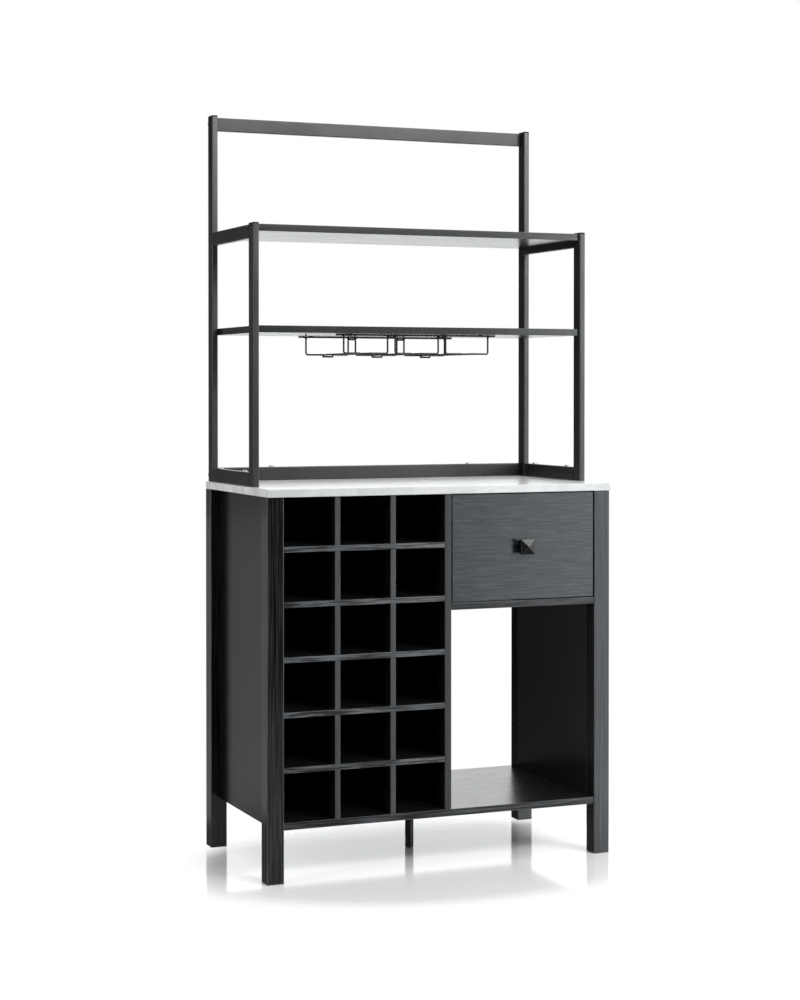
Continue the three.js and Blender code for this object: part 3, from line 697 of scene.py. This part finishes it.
def bendWire(name, corners, radius):
    # a ring drawn along the corners: extruded where it is straight, spun where it bends,
    # and bent tighter where it turns up under a bar
    corners = [Vector(corner) for corner in corners]
    heading = (corners[1] - corners[0]).normalized()
    clearSelection()
    bpy.ops.mesh.primitive_circle_add(vertices=wire["sides"], radius=radius, location=corners[0],
                                      rotation=heading.to_track_quat("Z", "Y").to_euler())
    piece = takeUp(name, [wirePaint])
    startEdit(piece)
    bpy.ops.mesh.select_all(action="SELECT")
    start = corners[0]
    lowest = min(corner.z for corner in corners)
    for here, after in zip(corners[1:], corners[2:] + [None]):
        turned = (wire["bend"] if here.z < lowest + wire["bend"] else wire["archBend"]) if after else 0.0
        run = (here - start).length - turned
        bpy.ops.mesh.extrude_region_move(TRANSFORM_OT_translate={"value": heading * run})
        if after:
            nextHeading = (after - here).normalized()
            centre = here - heading * turned + nextHeading * turned
            axis = heading.cross(nextHeading)
            bpy.ops.mesh.spin(steps=wire["bendSteps"], angle=math.radians(-90), center=centre, axis=axis)
            start = here + nextHeading * turned
            heading = nextHeading
    bpy.ops.mesh.select_all(action="SELECT")
    bpy.ops.mesh.remove_doubles(threshold=meshCare["merge"])
    bpy.ops.mesh.fill_holes(sides=0)
    bpy.ops.mesh.select_all(action="SELECT")
    bpy.ops.mesh.normals_make_consistent(inside=False)
    bpy.ops.object.mode_set(mode="OBJECT")
    return piece


stemRack = {"wire": 0.002, "slotWide": 0.103, "pairSpacing": 0.018, "flange": 0.0395, "drop": 0.04,
            "lift": 0.0023, "buttGap": 0.0003, "weldBelow": 0.0022, "stopInto": 0.0005, "stopBead": 0.64,
            "bead": 0.0027, "beadSides": 12, "beadRings": 8, "beadShape": (1.25, 1.25, 0.8),
            "clipFromEnd": 0.034, "clipBehind": 0.0055}
stemRails = ("left", "mid_left", "mid_right", "right")
lastRail = len(stemRails) - 1


def addBeads(places, radius):
    # beads of weld, a little flat
    beads = []
    for place in places:
        clearSelection()
        bpy.ops.mesh.primitive_uv_sphere_add(segments=stemRack["beadSides"], ring_count=stemRack["beadRings"],
                                             radius=radius, location=place, scale=stemRack["beadShape"])
        beads.append(takeUp("bead", [wirePaint]))
    return beads


def slotSide(post, heading, reach):
    # down at the rear, in to the lip of the slot, forward and out again
    inner = post + heading * stemRack["flange"]
    low = -stemRack["drop"]
    return [(post, reach, low), (inner, reach, low), (inner, -reach, low), (post, -reach, low)]


def railCorners(rail, reach):
    # an outer rail is one side of a slot; a middle rail is two, joined under the bars
    half = stemRack["pairSpacing"] / 2
    if rail in (0, lastRail):
        heading = 1 if rail == 0 else -1
        post = half * heading
        return [(post, reach, 0), *slotSide(post, heading, reach), (post, -reach, 0)]
    under = -stemRack["wire"] - stemRack["lift"]
    butt = stemRack["buttGap"] / 2
    leftSide = [(-half, -reach, under), *slotSide(-half, -1, reach)[::-1], (-half, reach, under)]
    rightSide = [(half, reach, under), *slotSide(half, 1, reach), (half, -reach, under)]
    return [(-butt, -reach, under), *leftSide, *rightSide, (butt, -reach, under)]


def addStop(slotStart, reach):
    # a short wire across the rear of a slot, welded under its two rails
    ends = [stemRack["flange"], stemRack["slotWide"] - stemRack["flange"]]
    behind = reach - wire["bend"]
    below = -stemRack["drop"] - 2 * stemRack["wire"] - stemRack["buttGap"]
    corners = [slotStart + Vector((ends[0] - stemRack["stopInto"], behind, below)),
               slotStart + Vector((ends[1] + stemRack["stopInto"], behind, below))]
    stop = bendWire("stemStop", corners, stemRack["wire"])
    welds = [slotStart + Vector((x, behind, below + stemRack["wire"])) for x in ends]
    return [stop, *addBeads(welds, stemRack["bead"] * stemRack["stopBead"])]


def dressStemRack():
    for end in ("front", "rear"):
        node = f"stem_{end}_bar"
        low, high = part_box(node)
        level = centreOf(node)
        bar = bendWire(pieceName(node), [(low.x, level.y, level.z), (high.x, level.y, level.z)],
                       stemRack["wire"])
        alongBar = runningAlong("X")
        pickEdges(bar, lambda a, b: not alongBar(a, b))
        bpy.ops.mesh.bevel(offset=wire["endRound"], segments=2, affect="EDGES")
        hand(bar, "frame", "black_wire", node)
    centre = (centreOf("stem_front_bar") + centreOf("stem_rear_bar")) / 2
    reach = (centreOf("stem_rear_bar").y - centreOf("stem_front_bar").y) / 2
    pitch = stemRack["slotWide"] + stemRack["pairSpacing"]
    half = stemRack["pairSpacing"] / 2
    for rail, name in enumerate(stemRails):
        node = f"stem_rail_{name}"
        shift = centre + Vector(((rail - lastRail / 2) * pitch, 0, 0))
        corners = [Vector(corner) + shift for corner in railCorners(rail, reach)]
        piece = bendWire(pieceName(node), corners, stemRack["wire"])
        posts = {0: [half], lastRail: [-half]}.get(rail, [-half, half])
        welds = [shift + Vector((post, side * reach, -stemRack["weldBelow"]))
                 for post in posts for side in (-1, 1)]
        extras = addBeads(welds, stemRack["bead"])
        if rail < lastRail:
            extras += addStop(shift + Vector((half, 0, 0)), reach)
        hand(joinAll(piece, extras), "frame", "black_wire", node)


dressStemRack()
print("hutch: stemware rack done")


# small screws on the hutch
screws = {"fromRearPost": 0.016, "fromFrontPost": 0.007}


def fitTubeScrews():
    model = roundHead("tubeScrew", fixing["buttonHead"], fixing["buttonHigh"], [blackBolt])
    sinkSocket(model, fixing["buttonHigh"])
    for side, sign in (("left", -1), ("right", 1)):
        face = max(abs(corner.x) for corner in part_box(f"{side}_rear_post")) * sign
        railLow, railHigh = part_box(f"{side}_top_rail")
        topLevel, middleLevel = centreOf("top_shelf").z, centreOf("middle_shelf").z
        places = [("top_rail_screw_front", railLow.y + screws["fromFrontPost"], topLevel),
                  ("top_rail_screw_rear", railHigh.y - screws["fromRearPost"], topLevel)]
        for node in ("rear_base_rail", "crown_rail"):
            places.append((f"{node}_screw", centreOf(node).y, centreOf(node).z))
        for end in ("front", "rear"):
            places.append((f"{end}_shelf_screw", centreOf(f"{side}_{end}_post").y, middleLevel))
        for name, y, z in places:
            piece = copyTo(model, pieceName(f"{side}_{name}"), (face, y, z), (0, math.radians(90 * sign), 0))
            hand(piece, "frame", "black_tube")
    bpy.data.objects.remove(model)


fitTubeScrews()


def clampStemBars():
    # a washer-headed screw beside each end of a bar holds it up to the shelf
    model = roundHead("barScrew", fixing["panHead"], fixing["panHigh"], [blackBolt])
    sinkCross(model, fixing["panHigh"])
    washer = addRod("barWasher", fixing["washer"], upright(-fixing["washerHigh"]), upright(0),
                    fixing["washerSides"], [blackBolt])
    model = joinAll(model, [washer])
    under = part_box("middle_shelf")[0].z - fixing["washerHigh"]
    for end in ("front", "rear"):
        low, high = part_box(f"stem_{end}_bar")
        left, right = low.x + stemRack["clipFromEnd"], high.x - stemRack["clipFromEnd"]
        behind = centreOf(f"stem_{end}_bar").y + stemRack["clipBehind"]
        for side, x in (("left", left), ("right", right)):
            piece = copyTo(model, pieceName(f"{side}_{end}_bar_screw"), (x, behind, under), (math.pi, 0, 0))
            hand(piece, "frame", "black_wire")
    bpy.data.objects.remove(model)


clampStemBars()
print("hutch: screws done")


# drawer: front, box and knob
drawerBox = {"frontEdge": 0.0008, "boxEdge": 0.0005}


def dressDrawer():
    # the front's foil carries a painted sheen
    front = copyNode("drawerFront", "drawer_front", [drawerFrontSheenFoil, wornFoil])
    softenSharp(front, drawerBox["frontEdge"], steps=3)
    hand(front, "drawer", "black_board", "drawer_front")
    for node in ("drawer_left_side", "drawer_right_side", "drawer_back"):
        along = boxFoil if node != "drawer_back" else boxFoilAcross
        piece = copyNode(pieceName(node), node, [along, boxEdge])
        softenSharp(piece, drawerBox["boxEdge"])
        hand(piece, "drawer", "drawer_board", node)
    dressBoard("drawer_bottom", backFace, None, body="drawer", slot="dark_panel", edge=board["panelEdge"])


dressDrawer()

stopStrip = {"fromFront": 0.0175, "deep": 0.008, "high": 0.0078, "sideGap": 0.0005, "topGap": 0.0002,
             "edge": 0.0008}


def fitStopStrip():
    # a thin strip under the counter, behind the top edge of the shut drawer's front
    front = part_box("centre_partition")[0].y + stopStrip["fromFront"]
    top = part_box("countertop")[0].z - stopStrip["topGap"]
    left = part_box("centre_partition")[1].x + stopStrip["sideGap"]
    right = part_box("right_side_panel")[0].x - stopStrip["sideGap"]
    piece = addBlock("drawerStopStrip", Vector((left, front, top - stopStrip["high"])),
                     Vector((right, front + stopStrip["deep"], top)), [capPlastic])
    softenSharp(piece, stopStrip["edge"], finishSlot=0)
    hand(piece, "frame", "black_plastic")


fitStopStrip()

knob = {"edgeDeep": 0.004, "footShare": 26 / 33, "faceHigh": 0.005, "edge": 0.0007, "sharpFrom": 9,
        "screwShank": 0.002}


def shapeKnob():
    # a block whose back is drawn in to its foot and whose face is raised to a low point
    low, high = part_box("drawer_knob")
    middle = centreOf("drawer_knob")
    front = low.y + knob["faceHigh"]
    piece = addBlock("drawerKnob", Vector((low.x, front, low.z)), high, [knobPaint, knobWearAndHighlight])
    cutAcross(piece, (0, front + knob["edgeDeep"], 0), (0, 1, 0))
    pickFaces(piece, facing("Y", 1))
    share = knob["footShare"]
    bpy.ops.transform.resize(value=(share, 1, share), center_override=(middle.x, high.y, middle.z))
    pickFaces(piece, facing("Y", -1))
    bpy.ops.mesh.poke(offset=knob["faceHigh"])
    # the rounded edges take the lighter edge finish: rubbed wear and a painted highlight
    softenSharp(piece, knob["edge"], steps=3, limit=knob["sharpFrom"])
    return hand(piece, "drawer", "knob_metal", "drawer_knob")


shapeKnob()


def turnKnobScrew():
    low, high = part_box("knob_screw")
    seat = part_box("drawer_front")[1].y
    radius = (high.x - low.x) / 2
    model = roundHead("knobScrewModel", radius, high.y - seat, [zincBolt])
    extendShank(model, knob["screwShank"], radius, seat - low.y)
    sinkCross(model, high.y - seat)
    centre = centreOf("knob_screw")
    piece = copyTo(model, "knobScrew", (centre.x, seat, centre.z), (math.radians(-90), 0, 0))
    hand(piece, "drawer", "zinc_steel", "knob_screw")
    bpy.data.objects.remove(model)


turnKnobScrew()
print("drawer: front, box, knob and screw done")


# drawer runners
runner = {"edge": 0.0003, "sheet": 0.0012, "slotLong": 0.022, "slotHalf": 0.0026, "slotRound": 0.96,
          "slotPlaces": (-0.12, -0.02, 0.1), "cutterBeside": 0.002, "screwPlaces": (-0.155, 0.04, 0.15)}


def punchSlots(piece, node):
    low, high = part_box(node)
    half = Vector(((high.x - low.x) / 2 + runner["cutterBeside"], runner["slotLong"] / 2, runner["slotHalf"]))
    for along in runner["slotPlaces"]:
        centre = centreOf(node) + Vector((0, along, 0))
        cutter = addBlock("slotCutter", centre - half, centre + half, [])
        pickEdges(cutter, runningAlong("X"))
        bpy.ops.mesh.bevel(offset=runner["slotHalf"] * runner["slotRound"], segments=5, affect="EDGES")
        bpy.ops.object.mode_set(mode="OBJECT")
        carve(piece, cutter)


def dressRunner(side, sign, screw):
    # sign points from the wall of the bay towards the drawer
    for part, body in (("outer", "frame"), ("inner", "drawer")):
        node = f"{side}_runner_{part}"
        piece = copyNode(pieceName(node), node, [zinc, zinc])
        softenSharp(piece, runner["edge"])
        punchSlots(piece, node)
        hand(piece, body, "zinc_steel", node)
    low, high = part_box(f"{side}_runner_inner")
    middle = centreOf(f"{side}_runner_inner")
    webInside = (high.x if sign > 0 else low.x) - sign * runner["sheet"]
    for count, along in enumerate(runner["screwPlaces"], 1):
        name = pieceName(f"{side}_runner_screw_{count}")
        place = (webInside, middle.y + along, middle.z)
        piece = copyTo(screw, name, place, (0, math.radians(-90 * sign), 0))
        hand(piece, "drawer", "zinc_steel")


cage = {"sheet": 0.0008, "edge": 0.00015, "flangeHalf": 0.01405, "ballRadius": 0.0024, "ballSides": 14,
        "ballRings": 10, "ballLevel": 0.01365, "ballAcross": 0.00665, "ballCount": 6, "ballPitch": 0.0152}


def dressCage(side, sign):
    # a shallow channel whose two lips carry the balls
    node = f"{side}_ball_cage"
    low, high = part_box(node)
    middle = centreOf(node)
    channel = addBlock(pieceName(node), Vector((low.x, low.y, middle.z - cage["flangeHalf"])),
                       Vector((high.x, high.y, middle.z + cage["flangeHalf"])), [zinc])
    openSide, ends = facing("X", sign), facing("Y")
    hollowOut(channel, lambda face: openSide(face) or ends(face), cage["sheet"])
    softenSharp(channel, cage["edge"], finishSlot=0)
    outerLow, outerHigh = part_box(f"{side}_runner_outer")
    across = (outerLow.x if sign > 0 else outerHigh.x) + sign * cage["ballAcross"]
    balls = []
    for count in range(cage["ballCount"]):
        along = middle.y + (count - (cage["ballCount"] - 1) / 2) * cage["ballPitch"]
        for level in (middle.z - cage["ballLevel"], middle.z + cage["ballLevel"]):
            clearSelection()
            bpy.ops.mesh.primitive_uv_sphere_add(segments=cage["ballSides"], ring_count=cage["ballRings"],
                                                 radius=cage["ballRadius"], location=(across, along, level))
            balls.append(takeUp("ball", [zincBolt]))
    hand(joinAll(channel, balls), f"{side}_cage", "zinc_steel", node)


runnerScrew = roundHead("runnerScrewModel", fixing["panHead"], fixing["panHigh"], [zincBolt])
sinkCross(runnerScrew, fixing["panHigh"])
for side, sign in (("left", 1), ("right", -1)):
    dressRunner(side, sign, runnerScrew)
    dressCage(side, sign)
bpy.data.objects.remove(runnerScrew)
print("drawer: runners and ball cages done")


# floor, light and camera
floor = {"radius": 1.9, "sides": 96, "pale": 0.8, "paler": 0.02, "cloud": 0.8, "glossy": 0.08, "dull": 0.1,
         "relief": 0.0001, "strength": 0.1, "halfWide": 0.48, "halfDeep": 0.33, "back": 0.1,
         "fade": (0.95, 1.3)}


def layFloor():
    clearSelection()
    bpy.ops.mesh.primitive_circle_add(vertices=floor["sides"], radius=floor["radius"], fill_type="NGON",
                                      location=(0, 0, 0))
    finish, shader = newFinish("paleFloor")
    cloud = addNoise(finish, floor["cloud"], detail=2)
    color = addRamp(finish, cloud, [(noiseSpan[0], grey(floor["pale"])),
                                    (noiseSpan[1], grey(floor["pale"] + floor["paler"]))])
    gloss = addRange(finish, cloud, noiseSpan, floor["glossy"], floor["dull"])
    joinUp(finish, shader, color, gloss, cloud, floor["relief"], floor["strength"])
    # it thins out round the rack, so that it has no edge
    place = addNode(finish, "ShaderNodeTexCoord", {}).outputs["Object"]
    spread = addNode(finish, "ShaderNodeMapping", {
        "Vector": place, "Location": (0, floor["back"] / floor["halfDeep"], 0),
        "Scale": (1 / floor["halfWide"], 1 / floor["halfDeep"], 1)}).outputs["Vector"]
    away = addNode(finish, "ShaderNodeVectorMath", {0: spread}, operation="LENGTH").outputs["Value"]
    fade = addRange(finish, away, floor["fade"], 1.0, 0.0, interpolation_type="SMOOTHERSTEP")
    finish.node_tree.links.new(fade, shader.inputs["Alpha"])
    ground = takeUp("paleFloor", [finish])
    ground.visible_glossy = False  # the foil mirrors the room instead, so it darkens towards the floor


layFloor()

studio = {
    "backdrop": 1.0,
    "room": 0.012,
    "below": {"span": (-0.13, -0.32), "bright": 0.25},
    "above": {"span": (0.25, 0.6), "bright": 0.15},
    "lights": [
        # name, place, aim, width, height, watts, tint
        ("keyHigh", (2.15, -3.8, 2.65), (2.15, 0.0, 2.65), 2.6, 1.3, 77, (0.97, 0.99, 1.0)),
        ("keyMid", (3.0, -3.8, 1.4), (3.0, 0.0, 1.4), 1.5, 0.8, 38, (0.95, 0.98, 1.0)),
        ("keyLow", (3.1, -3.8, -0.02), (3.1, 0.0, -0.02), 1.8, 2.04, 37.5, (0.91, 0.96, 1.0)),
        ("keyEdge", (1.825, -3.8, 0.1), (1.825, 0.0, 0.1), 0.75, 1.8, 9.3, (0.91, 0.96, 1.0)),
        ("legCard", (0.9, -3.8, -0.6), (0.9, 0.0, -0.6), 0.7, 0.8, 0.75, (1.0, 1.0, 1.0)),
        ("frontTop", (1.2, -3.3, 2.9), (0.0, -0.2, 1.0), 2.4, 1.0, 120, (1.0, 1.0, 1.0)),
        ("rightCard", (3.4, -1.9, 0.9), (0.2, -0.2, 0.7), 1.2, 1.7, 30, (1.0, 1.0, 1.0)),
        ("topSoft", (0.0, 0.4, 3.6), (0.0, 0.4, 0.0), 6.0, 6.0, 110, (1.0, 1.0, 1.0)),
        ("backCard", (2.6, 4.0, 1.3), (2.6, 0.0, 1.3), 5.4, 2.6, 80, (0.97, 0.99, 1.0)),
        ("leftCard", (-1.4, 1.6, 0.2), (-1.4, 0.0, 0.2), 1.3, 0.9, 1.35, (1.0, 1.0, 1.0)),
        ("leftHigh", (-1.4, 1.6, 1.13), (-1.4, 0.0, 1.13), 1.3, 0.96, 0.76, (1.0, 1.0, 1.0)),
        ("leftTop", (-1.4, 1.6, 1.86), (-1.4, 0.0, 1.86), 1.3, 0.5, 0.08, (1.0, 1.0, 1.0)),
        ("rightSoft", (4.4, 0.3, 1.0), (0.0, 0.3, 1.0), 3.0, 2.4, 45, (1.0, 1.0, 1.0)),
        ("leftSoft", (-3.6, -0.6, 1.7), (-0.4, 0.0, 1.0), 1.6, 2.2, 66, (1.0, 1.0, 1.0)),
    ],
}


def lightStudio():
    # the camera sees a white backdrop; the rest of the room is dim at the height of the lamps
    # and paler towards the ground and the ceiling
    world = bpy.data.worlds.new("paleStudio")
    world.use_nodes = True
    heading = addNode(world, "ShaderNodeTexCoord", {}).outputs["Generated"]
    slope = addNode(world, "ShaderNodeSeparateXYZ", {"Vector": heading}).outputs["Z"]
    glows = [addRange(world, slope, studio[end]["span"], studio["room"] / 2, studio[end]["bright"],
                      interpolation_type="SMOOTHSTEP") for end in ("below", "above")]
    cameraRay = addNode(world, "ShaderNodeLightPath", {}).outputs["Is Camera Ray"]
    strength = addRange(world, cameraRay, (0.0, 1.0), addMath(world, "ADD", *glows), studio["backdrop"])
    background = world.node_tree.nodes["Background"]
    background.inputs["Color"].default_value = (1, 1, 1, 1)
    world.node_tree.links.new(strength, background.inputs["Strength"])
    bpy.context.scene.world = world
    for name, place, aim, wide, tall, watts, tint in studio["lights"]:
        lamp = bpy.data.lights.new(name, "AREA")
        lamp.shape = "RECTANGLE"
        lamp.size, lamp.size_y, lamp.energy = wide, tall, watts
        lamp.color = tint
        holder = bpy.data.objects.new(name, lamp)
        holder.location = place
        holder.rotation_euler = (Vector(aim) - Vector(place)).to_track_quat("-Z", "Y").to_euler()
        holder.visible_camera = False
        bpy.context.scene.collection.objects.link(holder)
    bpy.context.scene.view_settings.view_transform = "Standard"


lightStudio()

view = {"place": (-1.79603, -4.22994, 1.03011), "yaw": 22.782, "down": 0.757, "lens": 74.371, "sensor": 36,
        "shift": -0.08493, "far": 200}


def placeCamera():
    lens = bpy.data.cameras.new("studioCamera")
    lens.sensor_fit = "AUTO"
    lens.sensor_width = view["sensor"]
    lens.lens = view["lens"]
    lens.shift_y = view["shift"]
    lens.clip_end = view["far"]
    holder = bpy.data.objects.new("studioCamera", lens)
    holder.location = view["place"]
    holder.rotation_euler = (math.radians(90 - view["down"]), 0, math.radians(-view["yaw"]))
    bpy.context.scene.collection.objects.link(holder)
    bpy.context.scene.camera = holder


placeCamera()
print("studio: floor, light and camera set")
